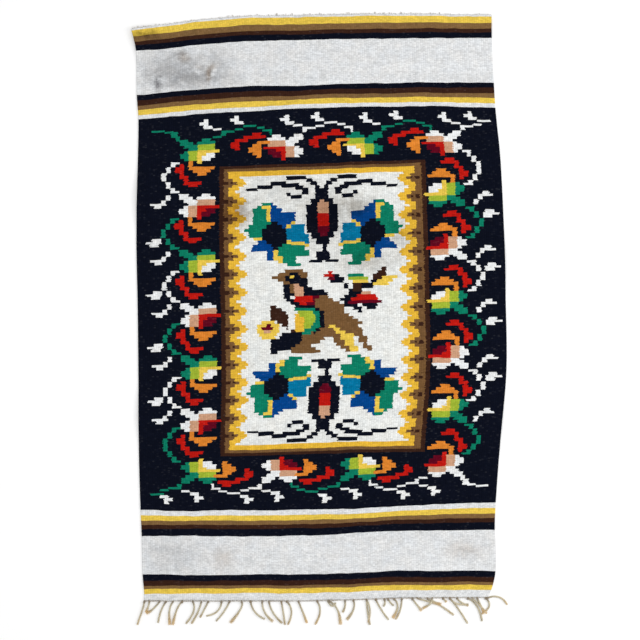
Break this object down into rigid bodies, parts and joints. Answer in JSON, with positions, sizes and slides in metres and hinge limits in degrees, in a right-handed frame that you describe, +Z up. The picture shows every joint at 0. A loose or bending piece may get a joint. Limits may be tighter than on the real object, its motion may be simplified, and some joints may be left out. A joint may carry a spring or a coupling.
{
  "type": "woven tapestry",
  "caption": "Woven wool tapestry laid flat, with end stripes, a dark flower border, a pale panel with a bird, and a knotted fringe along its lower end.",
  "frame": {"origin": "middle of the whole part's footprint, on the surface that it lies on", "axes": "+X along the throws of weft, to the picture's right; +Y along the warps, from the fringe to the plain end; +Z up, out of the patterned face"},
  "size_m": [0.9224, 1.498, 0.0099],
  "materials": {
    "cloth": "matt wool, weft-faced weave in dyed yarns",
    "fringe": "matt undyed warp yarn"
  },
  "bodies": {
    "root": {"cloth": "cloth", "fringe": "fringe"}
  },
  "joints": []
}
